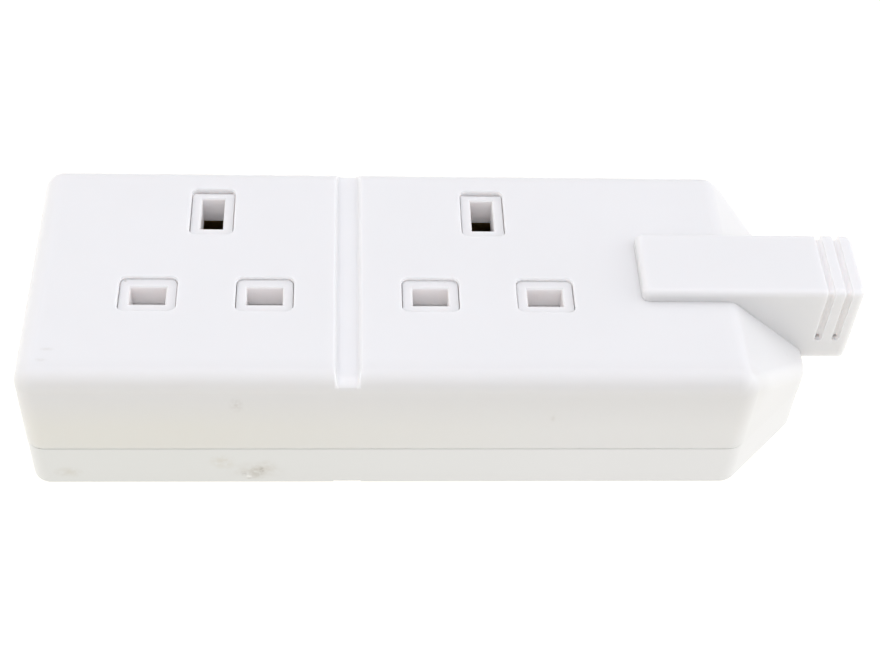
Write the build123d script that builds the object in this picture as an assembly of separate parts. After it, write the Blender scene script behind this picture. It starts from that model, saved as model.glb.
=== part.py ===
"""Two-gang trailing socket with shuttered flat-pin outlets and a rewireable cable entry.

Units are millimetres. X runs along the body with the cable outlet at +X, Y runs from the live and
neutral row at the front to the earth row at the back, and Z points up out of the socket faces.
The origin is on the underside, at the centre of the overall outline.
"""

from build123d import *
import math
import os

# Plug pins, as the plug standard sets them
pin_spacing = 22.23
earth_offset = 22.23
line_pin_width = 6.35
line_pin_thickness = 3.95
line_pin_length = 17.7
earth_pin_width = 3.95
earth_pin_depth = 7.95
earth_pin_length = 22.73

# Body
body_width = 57.0
seam_height = 11.6
wall = 2.2
top_wall = 2.4
edge_radius = 3.65
bevel_corner_radius = 4.5
end_bevel = 15.3
slope_run = 16.5
slope_drop = 14.6

# Socket faces
socket_pitch = 54.0
first_socket_inset = 34.25
last_socket_inset = 64.15
line_row_y = -6.55
aperture_clearance = 0.26
pocket_depth = 0.7
pocket_margin = 2.1
pocket_corner_radius = 1.4
pocket_rim_radius = 0.3
channel_width = 4.9
channel_depth = 1.2
channel_slope = 0.5
channel_rounding = 0.7
channel_surface_gap = 0.03
channel_run_out = 0.06

# Socket inserts, whose pads fill the pockets' floors
pad_gap = 0.16
insert_thickness = 1.6
insert_corner_radius = 2.0
aperture_lead = 0.25
sleeve_wall = 1.2
sleeve_depth = 4.9
shroud_depth = 6.4
shroud_setback = 0.1

# Cable outlet
spout_width = 16.3
spout_rise = 2.55
spout_height = 18.7
spout_reach = 9.3
fairing_length = 34.3
spout_edge_radius = 1.2
spout_tip_radius = 1.9
fairing_corner_radius = 1.4
rib_groove_radius = 0.75
rib_groove_sink = 0.05
rib_groove_insets = (3.4, 6.9)
rib_groove_foot = 5.5
rib_pit_radius = 0.42
rib_pit_depth = 1.5
cable_bore_radius = 4.6
gland_length = 14.8

# Base cover
base_inset = 0.1
base_floor = 2.2
base_wall = 3.0
base_edge_radius = 1.2
seam_gap = 0.3
tongue_height = 2.0
tongue_clearance = 0.15
base_groove_width = 5.4
base_groove_depth = 1.1

# Shutters
shutter_thickness = 1.7
shutter_play = 0.15
shutter_travel = 5.4
shutter_overlap = 0.85
shutter_side_overlap = 1.0
shutter_guide_width = 1.2
shutter_guide_length = 14.0
shutter_spine_width = 6.4
ramp_lead = 0.15
ramp_clearance = 0.24
ramp_nose = 1.2
ramp_arm = 2.6
lug_thickness = 1.4
lug_width = 5.0

# Return springs
spring_radius = 1.85
spring_wire = 0.5
spring_length = 10.6
spring_turns = 5.5
spring_peg_radius = 1.1
spring_peg_length = 1.5
spring_seat_thickness = 1.8

# Contact carrier
carrier_thickness = 2.0
carrier_end_margin = 3.3
carrier_front_reach = 9.5
carrier_back_reach = 15.5
carrier_slot_clearance = 0.6
carrier_pin_clearance = 1.0
carrier_screw_offset = 10.0
spacer_radius = 2.2
spacer_clearance = 0.2

# Busbars, contacts and terminals
busbar_thickness = 1.0
line_busbar_height = 7.0
busbar_lift = 1.5
busbar_bend = 0.8
busbar_corner_radius = 1.5
earth_busbar_drop = 1.5
live_busbar_gap = 4.3
neutral_busbar_gap = 5.3
busbar_overhang = 4.5
contact_sheet = 0.6
contact_bend = 0.8
contact_pinch = 0.35
contact_flare = 1.2
contact_mouth_height = 1.6
line_contact_width = 6.0
earth_contact_width = 7.0
contact_headroom = 1.0
pin_tip_room = 1.7
earth_busbar_height = 3.42
rivet_shank_radius = 1.0
rivet_head_radius = 1.4
rivet_head_height = 0.5
terminal_length = 8.0
terminal_width = 7.0
terminal_height = 8.0
terminal_inset = 30.7
terminal_edge_radius = 0.6
wire_bore_radius = 1.7
terminal_post_size = 5.0

# Cord clamp
clamp_inset = 19.8
clamp_length = 6.0
clamp_span = 26.0
clamp_thickness = 3.0
clamp_groove_depth = 0.9
clamp_squeeze = 0.3
clamp_pillar_radius = 3.2
clamp_pillar_spacing = 18.0

# Housing pillars and screws
pillar_radius = 3.6
base_boss_radius = 4.4
left_pillar_inset = 10.2
right_pillar_inset = 20.3
pillar_side_inset = 8.6
screw_fit = 0.02
screw_hole_clearance = 0.25
post_outer_radius = 3.4
post_inner_radius = 2.2
post_relief = 1.0
head_recess_clearance = 0.35

# Each screw: shank radius, head radius, head height, shank length
housing_screw = (1.5, 2.9, 1.9, 14.0)
carrier_screw = (1.1, 2.0, 1.3, 5.0)
terminal_screw = (1.4, 2.1, 1.4, 4.6)
clamp_screw = (1.4, 2.6, 1.7, 7.4)
head_recess_depth = 5.0
recess_width_share = 0.22
recess_length_share = 1.3
recess_depth_share = 0.6
slot_angles = (0,)
cross_angles = (0, 90)

# Places worked out from the sizes above
body_length = first_socket_inset + socket_pitch + last_socket_inset
overall_length = body_length + spout_reach
left_x = -overall_length / 2
end_x = left_x + body_length
tip_x = overall_length / 2
half_width = body_width / 2
socket_x = [left_x + first_socket_inset + i * socket_pitch for i in range(2)]
channel_x = sum(socket_x) / 2
earth_row_y = line_row_y + earth_offset
earth_tab_top_z = base_floor + earth_busbar_height + busbar_thickness
earth_tip_z = earth_tab_top_z + contact_sheet + pin_tip_room
housing_height = earth_tip_z + earth_pin_length
pocket_floor_z = housing_height - pocket_depth
ceiling_z = housing_height - top_wall
slope_x = end_x - slope_run
spout_top_z = housing_height + spout_rise
spout_floor_z = spout_top_z - spout_height
spout_axis_z = (spout_floor_z + spout_top_z) / 2
gland_x = end_x - gland_length
fairing_x = end_x - fairing_length

line_hole = (line_pin_width + 2 * aperture_clearance, line_pin_thickness + 2 * aperture_clearance)
earth_hole = (earth_pin_width + 2 * aperture_clearance, earth_pin_depth + 2 * aperture_clearance)
line_hole_front_y = line_row_y - line_hole[1] / 2
line_hole_back_y = line_row_y + line_hole[1] / 2
earth_hole_front_y = earth_row_y - earth_hole[1] / 2
earth_hole_back_y = earth_row_y + earth_hole[1] / 2

insert_bottom_z = ceiling_z - insert_thickness
sleeve_bottom_z = pocket_floor_z - sleeve_depth
shroud_back_y = earth_hole_back_y + shroud_setback + sleeve_wall
shutter_top_z = sleeve_bottom_z - shutter_play
shutter_bottom_z = shutter_top_z - shutter_thickness
carrier_top_z = shutter_bottom_z - shutter_play
carrier_bottom_z = carrier_top_z - carrier_thickness
shutter_front_y = line_hole_front_y - shutter_overlap
shutter_back_y = line_hole_back_y + shutter_overlap
shutter_half_span = pin_spacing / 2 + line_hole[0] / 2 + shutter_side_overlap
ramp_start_y = earth_hole_front_y - shutter_play
ramp_tip_y = earth_row_y - earth_pin_depth / 2 + shutter_travel
ramp_tip_z = shutter_top_z - (earth_pin_length - line_pin_length - ramp_lead)
ramp_width = earth_hole[0] - 2 * ramp_clearance
lug_front_y = shutter_front_y - lug_thickness
spring_seat_y = lug_front_y - spring_length
spring_axis_z = shutter_top_z - spring_radius - spring_wire
lug_bottom_z = spring_axis_z - spring_radius - spring_wire / 2

line_tip_z = housing_height - line_pin_length
line_tab_top_z = line_tip_z - pin_tip_room - contact_sheet
line_mouth_z = carrier_bottom_z - contact_headroom
earth_mouth_z = ramp_tip_z - ramp_nose - contact_headroom
live_busbar_y = line_row_y - line_pin_thickness / 2 - live_busbar_gap - busbar_thickness
neutral_busbar_y = line_row_y + line_pin_thickness / 2 + neutral_busbar_gap
earth_busbar_y = shroud_back_y + aperture_clearance
terminal_x = end_x - terminal_inset
line_busbar_bottom_z = line_tab_top_z - busbar_thickness
earth_busbar_bottom_z = earth_tab_top_z - busbar_thickness

clamp_x = end_x - clamp_inset
clamp_top_z = spout_axis_z - cable_bore_radius + clamp_groove_depth + clamp_squeeze
pillar_x = (left_x + left_pillar_inset, end_x - right_pillar_inset)
pillar_y = half_width - pillar_side_inset
base_top_z = seam_height - seam_gap


def span_box(x0, x1, y0, y1, z0, z1):
    """Box between two corners."""
    return Pos((x0 + x1) / 2, (y0 + y1) / 2, (z0 + z1) / 2) * Box(x1 - x0, y1 - y0, z1 - z0)


def upright(x, y, radius, z0, z1):
    """Vertical cylinder from z0 up to z1."""
    return Pos(x, y, (z0 + z1) / 2) * Cylinder(radius, z1 - z0)


def aperture_centres(x):
    """Live, neutral and earth aperture centres of the socket at x, each with its opening size."""
    return (
        (x - pin_spacing / 2, line_row_y, line_hole),
        (x + pin_spacing / 2, line_row_y, line_hole),
        (x, earth_row_y, earth_hole),
    )


def body_outline(inset):
    """Plan of the body, moved inwards by inset: rounded at the left corners, bevelled at the cable end."""
    x1 = end_x - end_bevel
    y1 = half_width - end_bevel
    points = [(left_x, -half_width), (x1, -half_width), (end_x, -y1)]
    points += [(end_x, y1), (x1, half_width), (left_x, half_width)]
    outline = make_face(Polyline(*points, close=True))
    if inset > 0:
        outline = offset(outline, -inset, kind=Kind.INTERSECTION).faces()[0]
    if inset < edge_radius:
        outline = fillet(outline.vertices().sort_by(Axis.X)[:2], edge_radius - inset)
    bevels = outline.vertices().sort_by(Axis.X)[-4:]
    return fillet(bevels, bevel_corner_radius - min(inset, edge_radius))


def slope_cutter(depth):
    """Block that removes everything above the sloped end, moved inwards by depth."""
    length = math.hypot(slope_run, slope_drop)
    along = Vector(slope_run, -slope_drop) / length
    normal = Vector(slope_drop, slope_run) / length
    middle = Vector(slope_x, housing_height) - normal * depth
    reach = body_length
    corners = [middle - along * reach, middle + along * reach]
    corners += [corners[1] + normal * reach, corners[0] + normal * reach]
    return extrude(Plane.XZ * make_face(Polyline(*corners, close=True)), body_width, both=True)


def body_form(radius, top):
    """Body shape with every edge rounded, grown by radius from a core inside the outer walls."""
    bottom = -2 * edge_radius
    core = Pos(0, 0, bottom) * extrude(body_outline(edge_radius), top - radius - bottom)
    return offset(core - slope_cutter(edge_radius), radius, kind=Kind.ARC)


def spout_block():
    """Raised fairing on the top face that runs out into the cable outlet."""
    half = spout_width / 2
    side = Polyline(
        (fairing_x, spout_top_z),
        (tip_x, spout_top_z),
        (tip_x, spout_floor_z),
        (gland_x, spout_floor_z),
        (gland_x, ceiling_z),
        (fairing_x, ceiling_z),
        close=True,
    )
    block = extrude(Plane.XZ * make_face(side), half, both=True)
    block = fillet(block.edges().filter_by(Axis.Z).group_by(Axis.X)[-1], spout_tip_radius)
    block = fillet(block.edges().filter_by(Axis.Z).group_by(Axis.X)[0], fairing_corner_radius)
    rims = block.faces().filter_by(Axis.Z).group_by(Axis.Z)[-1].edges()
    return fillet(rims, spout_edge_radius)


def spout_grooves():
    """Two round-bottomed grooves over the top and down both sides of the outlet, each ending in a pit."""
    half = spout_width / 2 - rib_groove_sink
    top = spout_top_z - rib_groove_sink
    foot = spout_floor_z + rib_groove_foot
    grooves = []
    for inset in rib_groove_insets:
        x = tip_x - inset
        path = FilletPolyline(
            (x, -half, foot), (x, -half, top), (x, half, top), (x, half, foot), radius=spout_edge_radius
        )
        section = Plane(origin=path @ 0, z_dir=path % 0) * Circle(rib_groove_radius)
        grooves.append(sweep(section, path=path))
        for side in (-1, 1):
            end = Pos(x, side * half, foot)
            pit = Cylinder(rib_pit_radius, 2 * (rib_pit_depth - rib_groove_sink))
            grooves += [end * Sphere(rib_groove_radius), end * Rot(90, 0, 0) * pit]
    return grooves


def pocket_cutters(clearance):
    """Upright prisms over the pockets, smaller all round by clearance."""
    cutters = []
    for centre in socket_x:
        for x, y, (width, depth) in aperture_centres(centre):
            margin = pocket_margin - clearance
            rim = RectangleRounded(width + 2 * margin, depth + 2 * margin, pocket_corner_radius - clearance)
            cutters.append(Pos(x, y, insert_bottom_z) * extrude(rim, housing_height - insert_bottom_z))
    return cutters


def pocket_rims(shell):
    """Edges of the six pockets in the top face."""
    rims = []
    top_edges = shell.edges().filter_by_position(Axis.Z, housing_height, housing_height)
    for centre in socket_x:
        for x, y, (width, depth) in aperture_centres(centre):
            reach_x = width / 2 + pocket_margin
            reach_y = depth / 2 + pocket_margin
            rims += [edge for edge in top_edges
                     if abs(edge.center().X - x) <= reach_x and abs(edge.center().Y - y) <= reach_y]
    return rims


def channel_cutter():
    """Cross channel between the sockets: a trough with rounded lips that runs out over both long edges."""
    half = channel_width / 2
    lip_height = channel_depth + channel_surface_gap
    reach = half + channel_depth
    profile = make_face(Polyline(
        (-reach, 2 * lip_height),
        (-reach, lip_height),
        (-half, lip_height),
        (channel_slope - half, 0),
        (half - channel_slope, 0),
        (half, lip_height),
        (reach, lip_height),
        (reach, 2 * lip_height),
        close=True,
    ))
    bends = [corner for corner in profile.vertices() if abs(corner.X) < reach]
    profile = fillet(bends, channel_rounding)
    side = half_width + channel_run_out
    floor = housing_height - channel_depth
    foot = housing_height - 2 * edge_radius
    corners = [(channel_x, -side, foot), (channel_x, -side, floor)]
    corners += [(channel_x, side, floor), (channel_x, side, foot)]
    path = FilletPolyline(*corners, radius=edge_radius - channel_depth)
    return sweep(Plane(origin=path @ 0, x_dir=(-1, 0, 0), z_dir=path % 0) * profile, path=path)


def socket_insert(x):
    """Moulded insert of the socket at x: pads, aperture sleeves, shutter guides and spring seat."""
    guide_half = shutter_half_span + shutter_play + shutter_guide_width
    y0 = spring_seat_y - spring_seat_thickness
    plate = RectangleRounded(2 * guide_half, shroud_back_y - y0, insert_corner_radius)
    insert = Pos(x, (y0 + shroud_back_y) / 2, insert_bottom_z) * extrude(plate, insert_thickness)
    below_floor = span_box(x - guide_half, x + guide_half, y0, shroud_back_y, insert_bottom_z, pocket_floor_z)
    pads = [pad for pad in pocket_cutters(pad_gap) if abs(pad.center().X - x) < socket_pitch / 2]
    insert += [pad & below_floor for pad in pads]
    insert += [aperture_prism(hole, sleeve_wall, insert_bottom_z) for hole in aperture_centres(x)]
    insert += [earth_shroud(x)] + shutter_guides(x)

    for hole_x, hole_y, (width, depth) in aperture_centres(x):
        mouth = Rectangle(width + 2 * aperture_lead, depth + 2 * aperture_lead)
        throat = Pos(0, 0, -aperture_lead) * Rectangle(width, depth)
        insert -= Pos(hole_x, hole_y, pocket_floor_z) * loft([mouth.faces()[0], throat.faces()[0]])
    return insert - [aperture_prism(hole, 0, pocket_floor_z) for hole in aperture_centres(x)]


def aperture_prism(hole, margin, top):
    """Upright block over an aperture, larger all round by margin, from the sleeves' ends up to top."""
    x, y, (width, depth) = hole
    half_x = width / 2 + margin
    half_y = depth / 2 + margin
    return span_box(x - half_x, x + half_x, y - half_y, y + half_y, sleeve_bottom_z, top)


def earth_shroud(x):
    """Three-sided shroud below an earth aperture, open at the front for the shutter's ramp."""
    inner = earth_hole[0] / 2 + shroud_setback
    outer = inner + sleeve_wall
    bottom = pocket_floor_z - shroud_depth
    block = span_box(x - outer, x + outer, earth_hole_front_y, shroud_back_y, bottom, insert_bottom_z)
    return block - span_box(x - inner, x + inner, earth_hole_front_y, shroud_back_y - sleeve_wall, bottom,
                            insert_bottom_z)


def shutter_guides(x):
    """Ribs below the insert that keep a shutter straight, and the seat of its spring."""
    inner = shutter_half_span + shutter_play
    y1 = shutter_back_y + shutter_play
    y0 = y1 - shutter_guide_length
    ribs = [
        span_box(x - inner - shutter_guide_width, x - inner, y0, y1, carrier_top_z, insert_bottom_z),
        span_box(x + inner, x + inner + shutter_guide_width, y0, y1, carrier_top_z, insert_bottom_z),
    ]
    seat = span_box(x - lug_width / 2, x + lug_width / 2, spring_seat_y - spring_seat_thickness,
                    spring_seat_y, lug_bottom_z, insert_bottom_z)
    peg = Pos(x, spring_seat_y + spring_peg_length / 2, spring_axis_z) * Rot(90, 0, 0) * Cylinder(
        spring_peg_radius, spring_peg_length)
    return ribs + [seat, peg]


def carrier_screw_places():
    """Two carrier screws on the channel line and one beyond each socket."""
    outer = shutter_half_span + shutter_play + shutter_guide_width + spacer_clearance + spacer_radius
    middle_y = line_row_y + earth_offset / 3
    return [
        (channel_x, middle_y - carrier_screw_offset),
        (channel_x, middle_y + carrier_screw_offset),
        (socket_x[0] - outer, middle_y),
        (socket_x[1] + outer, middle_y),
    ]


def clamp_screw_places():
    """Two cord-clamp screws, one each side of the cable."""
    return [(clamp_x, side * clamp_pillar_spacing / 2) for side in (-1, 1)]


def housing_screw_places():
    """Four screws that close the body, near its corners."""
    return [(x, side * pillar_y) for x in pillar_x for side in (-1, 1)]


def terminal_places():
    """Name, block front and bottom of each terminal, against its busbar's flat side."""
    return (
        ("live", live_busbar_y + busbar_thickness, line_tab_top_z),
        ("neutral", neutral_busbar_y + busbar_thickness, line_tab_top_z),
        ("earth", earth_busbar_y - terminal_width, earth_tab_top_z),
    )


def upper_housing():
    """Top moulding with the pockets, the cable outlet and everything that hangs from it."""
    shell = body_form(edge_radius, housing_height) - channel_cutter() - pocket_cutters(0)
    shell = fillet(pocket_rims(shell), pocket_rim_radius) + spout_block()
    hollow = body_form(edge_radius - wall, ceiling_z)
    fairing_hollow = span_box(fairing_x + wall, gland_x, wall - spout_width / 2, spout_width / 2 - wall,
                              seam_height, ceiling_z + spout_rise)
    shell = shell - hollow - fairing_hollow
    gland = span_box(gland_x, end_x - wall, -spout_width / 2, spout_width / 2, spout_floor_z, ceiling_z)
    shell += gland & body_form(edge_radius - wall / 2, housing_height - wall / 2)
    shell -= span_box(left_x, tip_x, -body_width, body_width, -body_width, seam_height)

    added = []
    for x, y in carrier_screw_places():
        added.append(upright(x, y, spacer_radius, carrier_top_z, ceiling_z))
    for x, y in clamp_screw_places():
        added.append(upright(x, y, clamp_pillar_radius, clamp_top_z, ceiling_z + top_wall / 2))
    for x, y in housing_screw_places():
        added.append(upright(x, y, pillar_radius, seam_height, ceiling_z))
    for name, y, bottom in terminal_places():
        added.append(span_box(
            terminal_x - terminal_post_size / 2, terminal_x + terminal_post_size / 2,
            y + (terminal_width - terminal_post_size) / 2, y + (terminal_width + terminal_post_size) / 2,
            bottom + terminal_height, ceiling_z + spout_rise / 2))
    shell = shell + added

    removed = spout_grooves()
    bore_length = tip_x - gland_x
    removed.append(Pos(gland_x + bore_length / 2, 0, spout_axis_z) * Rot(0, 90, 0) * Cylinder(
        cable_bore_radius, bore_length + spout_tip_radius))
    for places, screw, start in (
        (carrier_screw_places(), carrier_screw, carrier_top_z),
        (clamp_screw_places(), clamp_screw, clamp_top_z),
        (housing_screw_places(), housing_screw, seam_height),
    ):
        for x, y in places:
            removed.append(screw_hole(x, y, screw, start))
    return shell - removed


def screw_hole(x, y, screw, start):
    """Blind hole above start for the end of a screw whose head lies below."""
    return upright(x, y, screw[0] + screw_fit, start, screw_tip_z(screw) + screw_hole_clearance)


def screw_tip_z(screw):
    """Height that the tip of each kind of screw reaches."""
    head_top = {
        housing_screw: head_recess_depth,
        carrier_screw: carrier_bottom_z,
        clamp_screw: clamp_top_z - clamp_thickness,
    }[screw]
    return head_top + screw[3]


def screw_solid(x, y, screw, seat_z, angles):
    """Pan-head screw pointing up, its head's flat side at seat_z, with a slot at each angle below."""
    shank, head, height, length = screw
    profile = Polyline(
        (0, seat_z - height),
        (head * (1 - recess_width_share), seat_z - height),
        (head, seat_z - height / 2),
        (head, seat_z),
        (shank, seat_z),
        (shank, seat_z + length - shank / 2),
        (shank / 2, seat_z + length),
        (0, seat_z + length),
        close=True,
    )
    body = revolve(Plane.XZ * make_face(profile), Axis.Z)
    slot = head * recess_width_share
    reach = head * recess_length_share
    depth = height * recess_depth_share
    for angle in angles:
        body -= Pos(0, 0, seat_z - height) * Rot(0, 0, angle) * Box(reach, slot, 2 * depth)
    return Pos(x, y, 0) * body


def base_cover():
    """Tray that closes the underside, with a tongue inside the housing's wall."""
    tray = extrude(body_outline(base_inset), base_top_z)
    tray = fillet(tray.faces().sort_by(Axis.Z)[0].edges(), base_edge_radius)
    tongue = body_outline(wall + tongue_clearance)
    inner = body_outline(base_inset + base_wall)
    tray += Pos(0, 0, base_floor) * extrude(tongue, seam_height + tongue_height - base_floor)
    tray -= Pos(0, 0, base_floor) * extrude(inner, housing_height)

    for x, y in housing_screw_places():
        tray += upright(x, y, base_boss_radius, base_floor / 2, seam_height)
    for x, y, tab_top in contact_places():
        top = tab_top - busbar_thickness
        post = upright(x, y, post_outer_radius, base_floor / 2, top)
        tray += post - upright(x, y, post_inner_radius, top - post_relief, top)

    shank, head = housing_screw[:2]
    for x, y in housing_screw_places():
        tray -= upright(x, y, head + head_recess_clearance, 0, head_recess_depth)
        tray -= upright(x, y, shank + screw_hole_clearance, 0, seam_height)
    tray -= span_box(channel_x - base_groove_width / 2, channel_x + base_groove_width / 2,
                     -half_width, half_width, 0, base_groove_depth)
    return tray


def contact_places():
    """Centre and tab height of every pin contact."""
    places = []
    for x in socket_x:
        places.append((x - pin_spacing / 2, line_row_y, line_tab_top_z))
        places.append((x + pin_spacing / 2, line_row_y, line_tab_top_z))
        places.append((x, earth_row_y, earth_tab_top_z))
    return places


def contact_carrier():
    """Inner plate that carries the shutters, slotted for their ramps and springs."""
    screws = carrier_screw_places()
    x0 = screws[2][0] - carrier_end_margin
    x1 = screws[3][0] + carrier_end_margin
    y0 = line_row_y - carrier_front_reach
    y1 = line_row_y + carrier_back_reach
    plate = span_box(x0, x1, y0, y1, carrier_bottom_z, carrier_top_z)
    plate = fillet(plate.edges().filter_by(Axis.Z), spacer_radius)
    ramp_back = ramp_start_y - ramp_arm - shutter_travel - carrier_slot_clearance
    lug_back = shutter_front_y + carrier_slot_clearance
    ramp_half = ramp_width / 2 + carrier_slot_clearance
    lug_half = lug_width / 2 + carrier_slot_clearance
    for x in socket_x:
        plate -= span_box(x - ramp_half, x + ramp_half, ramp_back, y1, carrier_bottom_z, carrier_top_z)
        plate -= span_box(x - lug_half, x + lug_half, y0, lug_back, carrier_bottom_z, carrier_top_z)
        for hole_x, hole_y, (width, depth) in aperture_centres(x)[:2]:
            hole = RectangleRounded(width + carrier_pin_clearance, depth + carrier_pin_clearance,
                                    carrier_pin_clearance / 2)
            plate -= Pos(hole_x, hole_y, carrier_bottom_z) * extrude(hole, carrier_thickness)
    for x, y in screws:
        plate -= upright(x, y, carrier_screw[0] + screw_hole_clearance, carrier_bottom_z, carrier_top_z)
    return plate


def shutter(x):
    """Sliding shutter: a bar over both line apertures, a spine and ramp for the earth pin, a spring lug."""
    bar = span_box(x - shutter_half_span, x + shutter_half_span, shutter_front_y, shutter_back_y,
                   shutter_bottom_z, shutter_top_z)
    spine_end = ramp_start_y - ramp_arm
    spine = span_box(x - shutter_spine_width / 2, x + shutter_spine_width / 2, shutter_back_y, spine_end,
                     shutter_bottom_z, shutter_top_z)
    side = Polyline(
        (spine_end, shutter_top_z),
        (ramp_start_y, shutter_top_z),
        (ramp_tip_y, ramp_tip_z),
        (ramp_tip_y, ramp_tip_z - ramp_nose),
        (ramp_tip_y - ramp_nose, ramp_tip_z - ramp_nose),
        (spine_end, shutter_bottom_z - ramp_arm),
        close=True,
    )
    ramp = Pos(x, 0, 0) * extrude(Plane.YZ * make_face(side), ramp_width / 2, both=True)
    lug = span_box(x - lug_width / 2, x + lug_width / 2, lug_front_y, shutter_front_y, lug_bottom_z,
                   shutter_top_z)
    peg = Pos(x, lug_front_y - spring_peg_length / 2, spring_axis_z) * Rot(90, 0, 0) * Cylinder(
        spring_peg_radius, spring_peg_length)
    return bar + [spine, ramp, lug, peg]


def shutter_spring(x):
    """Compression spring along Y between the housing's seat and the shutter's lug."""
    reach = spring_length - spring_wire
    path = Helix(pitch=reach / spring_turns, height=reach, radius=spring_radius)
    wire = sweep(Plane(origin=path @ 0, z_dir=path % 0) * RegularPolygon(spring_wire / 2, 6), path=path)
    return Pos(x, lug_front_y - spring_wire / 2, spring_axis_z) * Rot(90, 0, 0) * wire


def pin_contact(x, y, gap, width, turn, tab_top, mouth):
    """U-shaped sprung clip whose two leaves pinch a pin of thickness gap."""
    half = gap / 2 + contact_sheet / 2
    foot = tab_top + contact_sheet / 2
    pinch = mouth - 2 * contact_mouth_height
    leaf = [(half + contact_flare / 2, mouth), (half - contact_pinch, pinch), (half, foot)]
    mirrored = [(-px, py) for px, py in reversed(leaf)]
    line = FilletPolyline(*leaf, *mirrored, radius=contact_bend)
    strip = extrude(Plane.XZ * trace(line, contact_sheet), width / 2, both=True)
    strip -= Pos(0, 0, foot) * Cylinder(rivet_shank_radius + screw_fit, 2 * contact_sheet)
    return Pos(x, y, 0) * Rot(0, 0, turn) * strip


def busbar(y, bottom, height, places, foot_end, foot_width):
    """Upright strip with a bent, pierced foot under each contact, reaching to foot_end along Y."""
    x0 = places[0][0] - busbar_overhang
    x1 = terminal_x + terminal_length / 2
    bar = span_box(x0, x1, y, y + busbar_thickness, bottom + busbar_lift, bottom + height)
    bar = fillet(bar.edges().filter_by(Axis.Y), busbar_corner_radius)
    middle_y = y + busbar_thickness / 2
    middle_z = bottom + busbar_thickness / 2
    bend = FilletPolyline(
        (middle_y, bottom + height / 2), (middle_y, middle_z), (foot_end, middle_z), radius=busbar_bend
    )
    foot = extrude(Plane.YZ * trace(bend, busbar_thickness), foot_width / 2, both=True)
    for x, contact_y, top in places:
        bar += Pos(x, 0, 0) * foot
        bar -= upright(x, contact_y, rivet_shank_radius + screw_fit, bottom, top)
    return bar


def rivet(x, y, tab_top):
    """Rivet through a contact's floor and the busbar's foot."""
    top = tab_top + contact_sheet
    bottom = tab_top - busbar_thickness
    profile = Polyline(
        (0, bottom - rivet_head_height),
        (rivet_head_radius, bottom - rivet_head_height),
        (rivet_head_radius, bottom),
        (rivet_shank_radius, bottom),
        (rivet_shank_radius, top),
        (rivet_head_radius, top),
        (rivet_head_radius, top + rivet_head_height),
        (0, top + rivet_head_height),
        close=True,
    )
    return Pos(x, y, 0) * revolve(Plane.XZ * make_face(profile), Axis.Z)


def terminal(y, bottom):
    """Brass block with a bore for the wire and a clamping screw hole from below."""
    half = terminal_length / 2
    block = span_box(terminal_x - half, terminal_x + half, y, y + terminal_width, bottom,
                     bottom + terminal_height)
    block = fillet(block.edges().filter_by(Axis.X), terminal_edge_radius)
    middle_y = y + terminal_width / 2
    middle_z = bottom + terminal_height / 2
    block -= Pos(terminal_x, middle_y, middle_z) * Rot(0, 90, 0) * Cylinder(wire_bore_radius, terminal_length)
    block -= upright(terminal_x, middle_y, terminal_screw[0] + screw_fit, bottom, middle_z)
    return block


def cord_clamp():
    """Bar that presses the cable against the housing, with a shallow groove across it."""
    bar = span_box(clamp_x - clamp_length / 2, clamp_x + clamp_length / 2, -clamp_span / 2, clamp_span / 2,
                   clamp_top_z - clamp_thickness, clamp_top_z)
    bar = fillet(bar.edges().filter_by(Axis.Z), clamp_length / 3)
    groove_z = clamp_top_z - clamp_groove_depth + cable_bore_radius
    bar -= Pos(clamp_x, 0, groove_z) * Rot(0, 90, 0) * Cylinder(cable_bore_radius, clamp_length)
    hole_radius = clamp_screw[0] + screw_hole_clearance
    for x, y in clamp_screw_places():
        bar -= upright(x, y, hole_radius, clamp_top_z - clamp_thickness, clamp_top_z)
    return bar


def contact_set():
    """Six clips by name: live, neutral and earth for each socket."""
    clips = {}
    for number, x in enumerate(socket_x, 1):
        for name, side in (("live", -1), ("neutral", 1)):
            clips[f"{name}_contact_{number}"] = pin_contact(
                x + side * pin_spacing / 2, line_row_y, line_pin_thickness, line_contact_width, 90,
                line_tab_top_z, line_mouth_z)
        clips[f"earth_contact_{number}"] = pin_contact(
            x, earth_row_y, earth_pin_width, earth_contact_width, 0, earth_tab_top_z, earth_mouth_z)
    return clips


def busbar_set():
    """Three busbars by name, each with its feet under its own contacts."""
    live, neutral, earth = [contact_places()[kind::3] for kind in range(3)]
    line_foot_half = line_pin_thickness / 2 + contact_sheet
    earth_top_z = pocket_floor_z - shroud_depth - earth_busbar_drop
    return {
        "live_busbar": busbar(live_busbar_y, line_busbar_bottom_z, line_busbar_height, live,
                              line_row_y + line_foot_half, line_contact_width),
        "neutral_busbar": busbar(neutral_busbar_y, line_busbar_bottom_z, line_busbar_height, neutral,
                                 line_row_y - line_foot_half, line_contact_width),
        "earth_busbar": busbar(earth_busbar_y, earth_busbar_bottom_z, earth_top_z - earth_busbar_bottom_z,
                               earth, earth_row_y - earth_contact_width / 2,
                               earth_pin_width + 2 * contact_sheet),
    }


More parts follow.
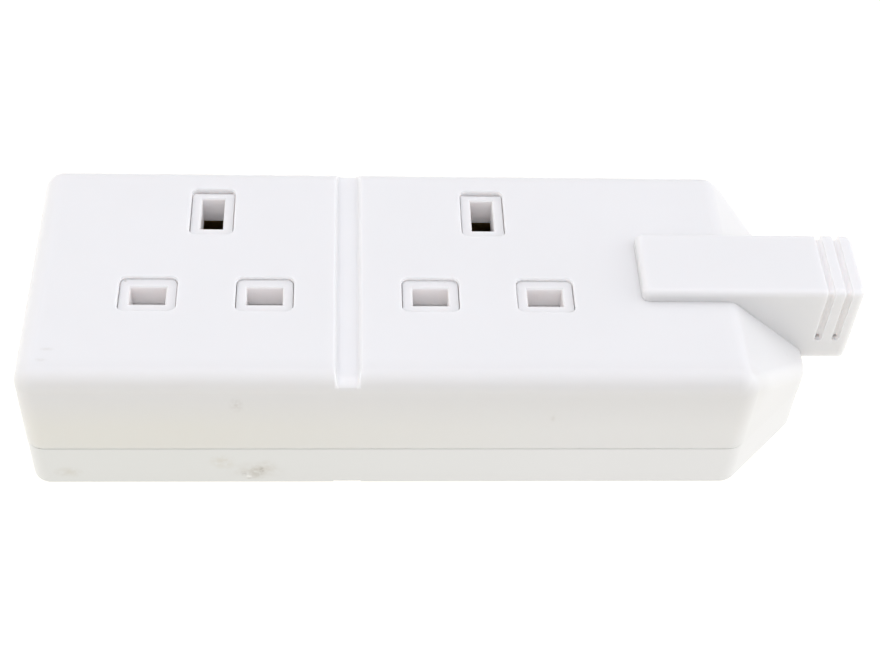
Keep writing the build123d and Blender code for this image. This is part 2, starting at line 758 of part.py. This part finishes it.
def build_parts():
    """Every node's solid or group of solids, by name."""
    parts = {
        "upper_housing": upper_housing(),
        "base_cover": base_cover(),
        "contact_carrier": contact_carrier(),
    }
    for number, x in enumerate(socket_x, 1):
        parts[f"socket_insert_{number}"] = socket_insert(x)
        parts[f"shutter_{number}"] = shutter(x)
        parts[f"shutter_spring_{number}"] = shutter_spring(x)
    parts.update(busbar_set())
    parts.update(contact_set())
    parts["contact_rivets"] = Compound(children=[rivet(*place) for place in contact_places()])
    screws = []
    for name, y, bottom in terminal_places():
        parts[f"{name}_terminal"] = terminal(y, bottom)
        screws.append(screw_solid(terminal_x, y + terminal_width / 2, terminal_screw, bottom, slot_angles))
    parts["terminal_screws"] = Compound(children=screws)
    parts["cord_clamp"] = cord_clamp()
    for name, places, screw, seat, angles in (
        ("cord_clamp_screws", clamp_screw_places(), clamp_screw, clamp_top_z - clamp_thickness, slot_angles),
        ("carrier_screws", carrier_screw_places(), carrier_screw, carrier_bottom_z, slot_angles),
        ("housing_screws", housing_screw_places(), housing_screw, head_recess_depth, cross_angles),
    ):
        parts[name] = Compound(children=[screw_solid(x, y, screw, seat, angles) for x, y in places])
    return parts


os.makedirs("parts", exist_ok=True)
for part_name, solid in build_parts().items():
    export_step(solid, f"parts/{part_name}.step")
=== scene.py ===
"""Looks of the two-gang trailing socket: camera, light, floor and the material of every piece."""
import math

import bmesh
import bpy
from mathutils import Matrix, Vector


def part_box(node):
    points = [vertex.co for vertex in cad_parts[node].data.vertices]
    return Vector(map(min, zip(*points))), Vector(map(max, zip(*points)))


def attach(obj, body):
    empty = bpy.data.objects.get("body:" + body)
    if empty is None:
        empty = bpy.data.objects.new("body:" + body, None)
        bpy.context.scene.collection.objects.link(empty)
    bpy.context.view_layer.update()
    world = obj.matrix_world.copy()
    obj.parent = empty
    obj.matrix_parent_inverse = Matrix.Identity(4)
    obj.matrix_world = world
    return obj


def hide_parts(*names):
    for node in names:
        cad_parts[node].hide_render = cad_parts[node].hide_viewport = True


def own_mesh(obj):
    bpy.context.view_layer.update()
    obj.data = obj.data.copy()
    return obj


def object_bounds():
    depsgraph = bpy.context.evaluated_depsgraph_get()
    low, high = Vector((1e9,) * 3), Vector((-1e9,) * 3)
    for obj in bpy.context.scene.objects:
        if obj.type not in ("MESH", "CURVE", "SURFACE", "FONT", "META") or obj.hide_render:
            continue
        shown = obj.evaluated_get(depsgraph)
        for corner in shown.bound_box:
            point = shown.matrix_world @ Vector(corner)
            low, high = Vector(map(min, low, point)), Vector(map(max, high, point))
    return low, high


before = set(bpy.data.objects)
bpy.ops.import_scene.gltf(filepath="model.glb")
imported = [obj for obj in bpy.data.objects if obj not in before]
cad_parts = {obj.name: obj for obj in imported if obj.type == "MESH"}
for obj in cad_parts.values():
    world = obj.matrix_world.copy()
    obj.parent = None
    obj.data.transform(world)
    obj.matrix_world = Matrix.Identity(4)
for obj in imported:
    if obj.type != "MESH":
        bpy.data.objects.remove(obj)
cad_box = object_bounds()


def rgb(red, green, blue):
    """Opaque colour from its linear channels."""
    return (red, green, blue, 1.0)


def painted_light_box(x, half_x, half_y, low_z, high_z, colour):
    """Box about x and the middle plane where light is painted in: its lowest and highest corner, and its
    colour.
    """
    return ((x - half_x, -half_y, low_z), (x + half_x, half_y, high_z), colour)


# Lengths are in metres and angles in degrees, except where a name says otherwise.
# Camera, as fitted to the photograph
CAMERA_PLACE = Vector((-0.02056, -0.21964, 0.26455))
CAMERA_PITCH = 48.672
CAMERA_YAW = 5.13
CAMERA_ROLL = 4.089
CAMERA_NEAR = 0.01
CAMERA_FAR = 20.0
FOCAL_PIXELS = 1644.07
PHOTO_WIDTH_PIXELS = 880
SENSOR_WIDTH_MM = 36.0

# Light tent: direction of each lobe, its sharpness, brightness and tint
PLAIN = (0.985, 0.995, 1.005)
WARM = (1.01, 0.995, 0.95)
COOL = (0.98, 0.982, 1.05)
LIGHT_LOBES = (
    ((1, 0, 0), 4.0, 2.68, PLAIN),
    ((-1, 0, 0), 1.0, 1.04, WARM),
    ((0, 0, 1), 1.0, 1.00, COOL),
    ((0, 0, 1), 4.0, 0.63, COOL),
)

# Floor of backlit acrylic: it glows, so the part has no shadow at its foot, as in the photograph
FLOOR_HALF = 3.0
FLOOR_DROP = 0.0002
FLOOR_CLOUD_SIZE = 0.4
FLOOR_DARK = rgb(0.24, 0.235, 0.22)
FLOOR_LIGHT = rgb(0.25, 0.245, 0.23)
FLOOR_ROUGHNESS = 0.9
FLOOR_SPECULAR = 0.1
FLOOR_GLOW = rgb(1.0, 0.985, 0.93)
FLOOR_GLOW_STRENGTH = 0.92

# Noise values between which a pattern goes from none to all
EVEN = (0.30, 0.70)
CLOUDY = (0.35, 0.65)
TARNISHED = (0.40, 0.70)
BROKEN = (0.30, 0.60)

# Satin white mouldings: sizes of their patterns, how far the roughness strays, and the light that they scatter.
# The roughness stays above 0.29, because smoother plastic looks flaky once the picture is denoised
PLASTIC_CLOUD_SIZE = 0.030
PLASTIC_GLOSS_SIZE = 0.020
PLASTIC_WAVE_SIZE = 0.008
PLASTIC_WAVE_DEPTH = 0.000010
PLASTIC_SMOOTHER, PLASTIC_ROUGHER = 0.02, 0.04
PLASTIC_IOR = 1.5
SCATTER_TINT = (1.0, 0.93, 0.90)
SCATTER_REACH = 0.002

# Matt inner mouldings
MATT_CLOUD_SIZE = 0.012
MATT_GLOSS_SIZE = 0.004
MATT_GLOSS_STRAY = 0.06
MATT_GRAIN_SIZE = 0.0005
MATT_GRAIN_DEPTH = 0.000012

# Metals
TARNISH_SIZE = 0.006
STREAK_SIZE = 0.0006
STREAK_DEPTH = 0.000006
METAL_SMOOTHER, METAL_ROUGHER = 0.08, 0.10

# The front face is painted with warm bounce light and shade on the housing and on the base, mostly at the left,
# and painted shade lies on the rounded edge above it
FRONT_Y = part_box("upper_housing")[0].y
FRONT_BOUNCE_REACH = 0.003
FRONT_LEFT_X, FRONT_LEFT_SHARE = -0.050, 0.80
FRONT_RIGHT_X, FRONT_RIGHT_SHARE = 0.025, 0.20
# Painted warm bounce light and shade on the front face: the housing's tint, then the base's
HOUSING_FRONT_PAINTED_BOUNCE = rgb(0.962, 0.948, 0.874)
BASE_FRONT_PAINTED_BOUNCE = rgb(0.920, 0.930, 0.890)
# Painted shade on the rounded edge above the front face: its height, its reach up and down and back, and its
# colour
EDGE_SHADE_Z = 0.027
EDGE_SHADE_Z_REACH = 0.009
EDGE_SHADE_Y_REACH = 0.006
PAINTED_EDGE_SHADE = rgb(0.935, 0.930, 0.922)

# Painted light: the plastic inside the pockets, the channel, the rib grooves and the sleeves, which are
# all of the inserts below their pads, is painted lighter where shade falls in them
SOCKET_NUMBERS = (1, 2)
SOCKET_X = [sum(corner.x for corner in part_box(f"socket_insert_{number}")) / 2 for number in SOCKET_NUMBERS]
LIGHT_BOX_FADE = 0.0002
LIGHT_BOX_DROP = 1.5 * LIGHT_BOX_FADE
TOP_Z = 0.03165
UNDER_TOP_Z = TOP_Z - LIGHT_BOX_DROP
PAD_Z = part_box("socket_insert_1")[1].z
UNDER_PAD_Z = PAD_Z - LIGHT_BOX_DROP
CHANNEL_X = sum(SOCKET_X) / 2
RIBS_X = (0.07395, 0.07745)
PAINTED_LIGHT_POCKETS = [painted_light_box(x, half_x=0.019, half_y=0.0225, low_z=0.0290, high_z=UNDER_TOP_Z,
                           colour=rgb(0.95, 0.93, 0.925)) for x in SOCKET_X]
PAINTED_LIGHT_CHANNEL = [painted_light_box(CHANNEL_X, half_x=0.0023, half_y=0.030, low_z=0.0296, high_z=UNDER_TOP_Z,
                           colour=rgb(0.762, 0.758, 0.757))]
PAINTED_LIGHT_RIBS = [painted_light_box(x, half_x=0.0006, half_y=0.010, low_z=0.0206, high_z=0.0350,
                        colour=rgb(0.812, 0.800, 0.795)) for x in RIBS_X]
PAINTED_LIGHT_SLEEVES = [painted_light_box(0.0, half_x=0.1, half_y=0.1, low_z=0.0, high_z=UNDER_PAD_Z,
                           colour=rgb(0.895, 0.862, 0.852))]

# Dirt marks: centre, reach along each axis, strength, colour, and size of the grain that breaks them up
MARK_CORE = 0.1
HOUSING_MARKS = (
    ((-0.0749, -0.0207, 0.03165), (0.0016, 0.0006, 0.0010), 0.30, rgb(0.50, 0.47, 0.42), 0.0006),
    ((-0.0758, -0.0233, 0.03165), (0.0014, 0.0005, 0.0010), 0.30, rgb(0.50, 0.47, 0.42), 0.0006),
    ((0.0192, -0.0285, 0.0210), (0.0007, 0.0006, 0.0012), 0.30, rgb(0.48, 0.45, 0.40), 0.0005),
    ((-0.0402, -0.0285, 0.0250), (0.0015, 0.0012, 0.0026), 0.35, rgb(0.45, 0.42, 0.38), 0.0008),
    ((0.0664, -0.0126, 0.0208), (0.0008, 0.0008, 0.0008), 0.40, rgb(0.45, 0.42, 0.38), 0.0004),
)
INSERT_MARKS = (
    ((-0.0622, -0.0029, 0.03095), (0.0004, 0.0004, 0.0008), 0.60, rgb(0.35, 0.32, 0.28), 0.0004),
)
BASE_MARKS = (
    ((-0.0375, -0.0284, 0.0045), (0.0064, 0.0020, 0.0032), 0.32, rgb(0.50, 0.46, 0.39), 0.0018),
    ((-0.0437, -0.0284, 0.0072), (0.0030, 0.0020, 0.0026), 0.42, rgb(0.55, 0.50, 0.40), 0.0012),
    ((-0.0352, -0.0284, 0.0054), (0.0026, 0.0020, 0.0028), 0.36, rgb(0.50, 0.46, 0.39), 0.0012),
    ((-0.0373, -0.0284, 0.0037), (0.0022, 0.0016, 0.0026), 0.50, rgb(0.38, 0.34, 0.28), 0.0007),
    ((-0.0362, -0.0284, 0.0046), (0.0006, 0.0012, 0.0016), 0.50, rgb(0.24, 0.22, 0.18), 0.0005),
    ((-0.0397, -0.0284, 0.0035), (0.0008, 0.0012, 0.0010), 0.45, rgb(0.34, 0.31, 0.26), 0.0005),
    ((-0.0387, -0.0284, 0.0026), (0.0007, 0.0010, 0.0005), 0.80, rgb(0.92, 0.91, 0.88), 0.0004),
    ((-0.0387, -0.0284, 0.0019), (0.0006, 0.0010, 0.0004), 0.50, rgb(0.40, 0.37, 0.31), 0.0004),
    ((-0.0735, -0.0284, 0.0040), (0.0032, 0.0020, 0.0020), 0.36, rgb(0.50, 0.46, 0.37), 0.0010),
)

# Coil springs of the shutters, each with some slack at both ends of the solid that it replaces
SPRING_WIRE = 0.0005
SPRING_TURNS = 5.5
SPRING_STEPS_A_TURN = 24
SPRING_WIRE_SIDES = 8
SPRING_SLACK = 0.00005

# Sockets of the colour mix node go by number, because their names repeat
MIX_SHARE, MIX_FIRST, MIX_SECOND, MIX_RESULT = 0, 6, 7, 2


class Nodes:
    """A node tree, with short calls for the nodes that it uses."""

    def __init__(self, tree):
        self.tree = tree

    def node(self, kind, **settings):
        """New node with these settings."""
        made = self.tree.nodes.new(kind)
        for key, value in settings.items():
            setattr(made, key, value)
        return made

    def link(self, start, end):
        """Links an output to an input."""
        self.tree.links.new(start, end)

    def put(self, value, socket):
        """Links a socket, or sets a plain value."""
        if isinstance(value, bpy.types.NodeSocket):
            self.link(value, socket)
        else:
            socket.default_value = value

    def calculate(self, operation, first, second=0.0):
        """Result of a sum with one or two numbers."""
        made = self.node("ShaderNodeMath", operation=operation)
        self.put(first, made.inputs[0])
        self.put(second, made.inputs[1])
        return made.outputs[0]

    def vector(self, operation, first, second=None):
        """Node for a sum with one or two vectors."""
        made = self.node("ShaderNodeVectorMath", operation=operation)
        self.put(first, made.inputs[0])
        if second is not None:
            self.put(second, made.inputs[1])
        return made


class Shader(Nodes):
    """A material's node tree, round one surface shader."""

    def __init__(self, name):
        self.material = bpy.data.materials.new(name)
        self.material.use_nodes = True
        super().__init__(self.material.node_tree)
        self.tree.nodes.clear()
        self.surface = self.node("ShaderNodeBsdfPrincipled")
        output = self.node("ShaderNodeOutputMaterial")
        self.link(self.surface.outputs["BSDF"], output.inputs["Surface"])
        self.place = self.node("ShaderNodeTexCoord").outputs["Object"]

    def noise(self, size, detail=4.0, rough=0.55, stretch=(1, 1, 1)):
        """Noise whose features are about size metres across, with its values from 0 to 1."""
        place = self.node("ShaderNodeMapping")
        place.inputs["Scale"].default_value = stretch
        self.link(self.place, place.inputs["Vector"])
        made = self.node("ShaderNodeTexNoise")
        self.link(place.outputs["Vector"], made.inputs["Vector"])
        made.inputs["Scale"].default_value = 1 / size
        made.inputs["Detail"].default_value = detail
        made.inputs["Roughness"].default_value = rough
        return made.outputs["Fac"]

    def remap(self, value, low, high, to_low=0.0, to_high=1.0):
        """Value from low..high stretched to to_low..to_high, clamped."""
        made = self.node("ShaderNodeMapRange")
        self.put(value, made.inputs["Value"])
        for key, number in zip(("From Min", "From Max", "To Min", "To Max"), (low, high, to_low, to_high)):
            made.inputs[key].default_value = number
        return made.outputs["Result"]

    def mix(self, share, first, second):
        """Colour between first and second."""
        made = self.node("ShaderNodeMix", data_type="RGBA")
        self.put(share, made.inputs[MIX_SHARE])
        self.put(first, made.inputs[MIX_FIRST])
        self.put(second, made.inputs[MIX_SECOND])
        return made.outputs[MIX_RESULT]

    def axis(self, name):
        """One coordinate of the surface point, in metres."""
        split = self.node("ShaderNodeSeparateXYZ")
        self.link(self.place, split.inputs[0])
        return split.outputs[name]

    def spot(self, centre, reach, core):
        """1 out to core, a share of the reach along each axis, then falling to 0 at the full reach."""
        place = self.node("ShaderNodeMapping", vector_type="TEXTURE")
        place.inputs["Location"].default_value = centre
        place.inputs["Scale"].default_value = reach
        self.link(self.place, place.inputs["Vector"])
        length = self.vector("LENGTH", place.outputs["Vector"])
        return self.remap(length.outputs["Value"], core, 1.0, 1.0, 0.0)

    def band(self, name, centre, half, fade):
        """1 up to half away from centre along an axis, then falling to 0 over fade."""
        away = self.calculate("ABSOLUTE", self.calculate("SUBTRACT", self.axis(name), centre))
        return self.remap(away, half, half + fade, 1.0, 0.0)

    def region(self, low, high, fade):
        """1 inside a box, falling to 0 over fade outside it."""
        share = 1.0
        for name, least, most in zip("XYZ", low, high):
            within = self.band(name, (least + most) / 2, (most - least) / 2, fade)
            share = self.calculate("MULTIPLY", within, share)
        return share

    def bump(self, height, depth):
        """Normal of a bump of depth metres."""
        made = self.node("ShaderNodeBump")
        made.inputs["Distance"].default_value = depth
        self.link(height, made.inputs["Height"])
        return made.outputs["Normal"]

    def finish(self, colour, roughness, normal=None, **values):
        """The material, with its surface shader filled in."""
        self.put(colour, self.surface.inputs["Base Color"])
        self.put(roughness, self.surface.inputs["Roughness"])
        if normal is not None:
            self.link(normal, self.surface.inputs["Normal"])
        for key, value in values.items():
            self.surface.inputs[key].default_value = value
        return self.material


def tinted(colour, tint):
    """Colour times a tint, channel by channel."""
    return [channel * share for channel, share in zip(colour, tint)]


def paint_front_light_and_shade(shader, colour, plain, tint):
    """Colour, with the plain one tinted over the front face as painted warm bounce light and shade, and painted
    shade on the rounded edge above it.
    """
    front = shader.remap(shader.axis("Y"), FRONT_Y, FRONT_Y + FRONT_BOUNCE_REACH, 1.0, 0.0)
    along = shader.remap(shader.axis("X"), FRONT_LEFT_X, FRONT_RIGHT_X, FRONT_LEFT_SHARE, FRONT_RIGHT_SHARE)
    # Painted warm bounce light and shade over the front face
    colour = shader.mix(shader.calculate("MULTIPLY", front, along), colour, tinted(plain, tint))
    # Painted shade on the rounded edge above the front face
    behind = shader.remap(shader.axis("Y"), FRONT_Y + FRONT_BOUNCE_REACH, FRONT_Y + EDGE_SHADE_Y_REACH, 1.0, 0.0)
    edge_shade = shader.calculate("MULTIPLY", behind, shader.band("Z", EDGE_SHADE_Z, 0.0, EDGE_SHADE_Z_REACH))
    return shader.mix(edge_shade, colour, tinted(plain, PAINTED_EDGE_SHADE))


def moulded_plastic(name, light, dark, roughness, marks=(), scatter=0.0, front_painted_bounce=None, painted_light_boxes=()):
    """Satin white moulding with faint clouds in its colour and gloss and a slight waviness.

    Over them come the painted warm bounce light and shade on the front, the painted light in the hollows and
    the dirt marks. scatter is the share of the light that goes into the plastic and comes out beside its entry.
    """
    shader = Shader(name)
    cloud = shader.remap(shader.noise(PLASTIC_CLOUD_SIZE, detail=2, rough=0.4), *EVEN)
    colour = shader.mix(cloud, light, dark)
    if front_painted_bounce is not None:
        colour = paint_front_light_and_shade(shader, colour, light, front_painted_bounce)
    # Painted light: lighter colour in the pockets, channel, rib grooves and sleeves, where shade falls
    for low, high, painted_light_colour in painted_light_boxes:
        colour = shader.mix(shader.region(low, high, LIGHT_BOX_FADE), colour, painted_light_colour)
    for centre, reach, strength, dirt, grain in marks:
        broken = shader.remap(shader.noise(grain, detail=3, rough=0.5), *BROKEN)
        share = shader.calculate("MULTIPLY", shader.spot(centre, reach, MARK_CORE), broken)
        colour = shader.mix(shader.calculate("MULTIPLY", share, strength), colour, dirt)
    gloss = shader.remap(shader.noise(PLASTIC_GLOSS_SIZE, detail=2, rough=0.5), *EVEN,
                         roughness - PLASTIC_SMOOTHER, roughness + PLASTIC_ROUGHER)
    normal = shader.bump(shader.noise(PLASTIC_WAVE_SIZE, detail=1), PLASTIC_WAVE_DEPTH)
    depth = {
        "Subsurface Weight": scatter,
        "Subsurface Radius": SCATTER_TINT,
        "Subsurface Scale": SCATTER_REACH,
    }
    return shader.finish(colour, gloss, normal, IOR=PLASTIC_IOR, **depth)


def matt_plastic(name, light, dark, roughness):
    """Plain inner moulding with a light spark-eroded grain."""
    shader = Shader(name)
    colour = shader.mix(shader.remap(shader.noise(MATT_CLOUD_SIZE), *CLOUDY), light, dark)
    gloss = shader.remap(shader.noise(MATT_GLOSS_SIZE), *EVEN,
                         roughness - MATT_GLOSS_STRAY, roughness + MATT_GLOSS_STRAY)
    normal = shader.bump(shader.noise(MATT_GRAIN_SIZE), MATT_GRAIN_DEPTH)
    return shader.finish(colour, gloss, normal)


def streaked_metal(name, light, dark, roughness, stretch):
    """Rolled, drawn or turned metal with tarnish clouds. The streaks are longest where stretch is least."""
    shader = Shader(name)
    colour = shader.mix(shader.remap(shader.noise(TARNISH_SIZE, detail=6), *TARNISHED), light, dark)
    streak = shader.noise(STREAK_SIZE, stretch=stretch)
    gloss = shader.remap(streak, *EVEN, roughness - METAL_SMOOTHER, roughness + METAL_ROUGHER)
    normal = shader.bump(streak, STREAK_DEPTH)
    return shader.finish(colour, gloss, normal, Metallic=1.0)


def paint(material, *nodes):
    """Gives these CAD nodes the material in every slot."""
    for name in nodes:
        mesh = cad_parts[name].data
        if not mesh.materials:
            mesh.materials.append(material)
        for index in range(len(mesh.materials)):
            mesh.materials[index] = material


def make_spring(number, material):
    """Round-wire coil in the place of its solid."""
    low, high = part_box(f"shutter_spring_{number}")
    middle = (low + high) / 2
    radius = (high.z - low.z - SPRING_WIRE) / 2
    start = low.y + SPRING_WIRE / 2 + SPRING_SLACK
    end = high.y - SPRING_WIRE / 2 - SPRING_SLACK
    steps = round(SPRING_TURNS * SPRING_STEPS_A_TURN)
    turns = [2 * math.pi * side / SPRING_WIRE_SIDES for side in range(SPRING_WIRE_SIDES)]
    coil = bmesh.new()
    rings = []
    for step in range(steps + 1):
        angle = 2 * math.pi * SPRING_TURNS * step / steps
        outward = Vector((math.cos(angle), 0.0, math.sin(angle)))
        centre = Vector((middle.x, start + (end - start) * step / steps, middle.z)) + outward * radius
        around = [outward * math.cos(turn) + Vector((0.0, math.sin(turn), 0.0)) for turn in turns]
        rings.append([coil.verts.new(centre + offset * SPRING_WIRE / 2) for offset in around])
    for ring, following in zip(rings, rings[1:]):
        for side in range(SPRING_WIRE_SIDES):
            coil.faces.new((ring[side - 1], ring[side], following[side], following[side - 1]))
    coil.faces.new(rings[0])
    coil.faces.new(rings[-1])
    bmesh.ops.recalc_face_normals(coil, faces=coil.faces)
    mesh = bpy.data.meshes.new(f"coil_spring_{number}")
    coil.to_mesh(mesh)
    coil.free()
    mesh.shade_smooth()
    mesh.materials.append(material)
    spring = bpy.data.objects.new(f"coil_spring_{number}", mesh)
    bpy.context.scene.collection.objects.link(spring)
    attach(spring, "housing")
    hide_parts(f"shutter_spring_{number}")
    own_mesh(spring)


def make_materials():
    """Material of every piece, each from its lighter and darker colour and its roughness."""
    housing = moulded_plastic("housing_plastic", rgb(0.721, 0.718, 0.717), rgb(0.713, 0.710, 0.708), 0.32,
                              HOUSING_MARKS, scatter=0.7, front_painted_bounce=HOUSING_FRONT_PAINTED_BOUNCE,
                              painted_light_boxes=PAINTED_LIGHT_POCKETS + PAINTED_LIGHT_CHANNEL + PAINTED_LIGHT_RIBS)
    paint(housing, "upper_housing")
    base = moulded_plastic("base_plastic", rgb(0.735, 0.732, 0.733), rgb(0.725, 0.722, 0.722), 0.34,
                           BASE_MARKS, front_painted_bounce=BASE_FRONT_PAINTED_BOUNCE)
    paint(base, "base_cover")
    insert = moulded_plastic("insert_plastic", rgb(0.712, 0.706, 0.704), rgb(0.706, 0.700, 0.698), 0.32,
                             INSERT_MARKS, scatter=0.8, painted_light_boxes=PAINTED_LIGHT_SLEEVES)
    paint(insert, "socket_insert_1", "socket_insert_2")
    shutter = moulded_plastic("shutter_plastic", rgb(0.74, 0.73, 0.72), rgb(0.70, 0.69, 0.68), 0.34)
    paint(shutter, "shutter_1", "shutter_2")
    carrier = matt_plastic("carrier_plastic", rgb(0.62, 0.61, 0.59), rgb(0.56, 0.55, 0.53), 0.5)
    paint(carrier, "contact_carrier", "cord_clamp")
    spring_steel = streaked_metal("spring_steel", rgb(0.60, 0.60, 0.60), rgb(0.48, 0.47, 0.45), 0.28,
                                  stretch=(1, 0.2, 1))
    for number in SOCKET_NUMBERS:
        make_spring(number, spring_steel)
    screw_steel = streaked_metal("screw_steel", rgb(0.62, 0.61, 0.57), rgb(0.50, 0.48, 0.43), 0.34,
                                 stretch=(1, 1, 0.2))
    paint(screw_steel, "terminal_screws", "cord_clamp_screws", "carrier_screws", "housing_screws")
    busbar_brass = streaked_metal("busbar_brass", rgb(0.66, 0.46, 0.20), rgb(0.45, 0.28, 0.11), 0.36,
                                  stretch=(0.08, 1, 1))
    paint(busbar_brass, "live_busbar", "neutral_busbar", "earth_busbar")
    contact_brass = streaked_metal("contact_brass", rgb(0.72, 0.52, 0.24), rgb(0.55, 0.36, 0.15), 0.30,
                                   stretch=(1, 1, 0.1))
    paint(contact_brass, *(f"{kind}_contact_{number}" for kind in ("live", "neutral", "earth")
                           for number in SOCKET_NUMBERS))
    terminal_brass = streaked_metal("terminal_brass", rgb(0.74, 0.56, 0.27), rgb(0.58, 0.41, 0.18), 0.26,
                                    stretch=(0.1, 1, 1))
    paint(terminal_brass, "live_terminal", "neutral_terminal", "earth_terminal", "contact_rivets")


def make_camera():
    """Camera at the place and angle that were fitted to the photograph."""
    pitch, yaw, roll = (math.radians(angle) for angle in (CAMERA_PITCH, CAMERA_YAW, CAMERA_ROLL))
    forward = Vector((math.sin(yaw) * math.cos(pitch), math.cos(yaw) * math.cos(pitch), -math.sin(pitch)))
    level = Vector((math.cos(yaw), -math.sin(yaw), 0.0))
    upward = level.cross(forward)
    right = level * math.cos(roll) + upward * math.sin(roll)
    up = upward * math.cos(roll) - level * math.sin(roll)
    data = bpy.data.cameras.new("camera")
    data.sensor_width = SENSOR_WIDTH_MM
    data.lens = SENSOR_WIDTH_MM * FOCAL_PIXELS / PHOTO_WIDTH_PIXELS
    data.clip_start = CAMERA_NEAR
    data.clip_end = CAMERA_FAR
    camera = bpy.data.objects.new("camera", data)
    turn = Matrix((right, up, -forward)).transposed().to_4x4()
    camera.matrix_world = Matrix.Translation(CAMERA_PLACE) @ turn
    bpy.context.scene.collection.objects.link(camera)
    bpy.context.scene.camera = camera


def make_floor():
    """Plain pale floor of backlit acrylic, just under the part."""
    mesh = bpy.data.meshes.new("floor")
    corners = [(-FLOOR_HALF, -FLOOR_HALF, 0), (FLOOR_HALF, -FLOOR_HALF, 0),
               (FLOOR_HALF, FLOOR_HALF, 0), (-FLOOR_HALF, FLOOR_HALF, 0)]
    mesh.from_pydata(corners, [], [(0, 1, 2, 3)])
    floor = bpy.data.objects.new("floor", mesh)
    floor.location.z = cad_box[0].z - FLOOR_DROP
    bpy.context.scene.collection.objects.link(floor)
    shader = Shader("floor_acrylic")
    tone = shader.remap(shader.noise(FLOOR_CLOUD_SIZE, detail=2), *EVEN)
    values = {
        "Specular IOR Level": FLOOR_SPECULAR,
        "Emission Color": FLOOR_GLOW,
        "Emission Strength": FLOOR_GLOW_STRENGTH,
    }
    colour = shader.mix(tone, FLOOR_DARK, FLOOR_LIGHT)
    mesh.materials.append(shader.finish(colour, FLOOR_ROUGHNESS, **values))


def make_light_tent():
    """Soft studio light from all round: a sum of wide lobes, each brightest along its own direction."""
    world = bpy.data.worlds.new("studio")
    bpy.context.scene.world = world
    world.use_nodes = True
    nodes = Nodes(world.node_tree)
    direction = nodes.node("ShaderNodeTexCoord").outputs["Generated"]
    total = None
    for towards, sharpness, brightness, tint in LIGHT_LOBES:
        facing = nodes.vector("DOT_PRODUCT", direction, towards).outputs["Value"]
        shaped = nodes.calculate("POWER", nodes.calculate("MAXIMUM", facing, 0.0), sharpness)
        lobe = nodes.vector("SCALE", [brightness * channel for channel in tint])
        nodes.link(shaped, lobe.inputs["Scale"])
        if total is None:
            total = lobe.outputs["Vector"]
        else:
            total = nodes.vector("ADD", total, lobe.outputs["Vector"]).outputs["Vector"]
    nodes.link(total, world.node_tree.nodes["Background"].inputs["Color"])


make_camera()
make_floor()
make_light_tent()
make_materials()
bpy.context.scene.view_settings.view_transform = "Standard"
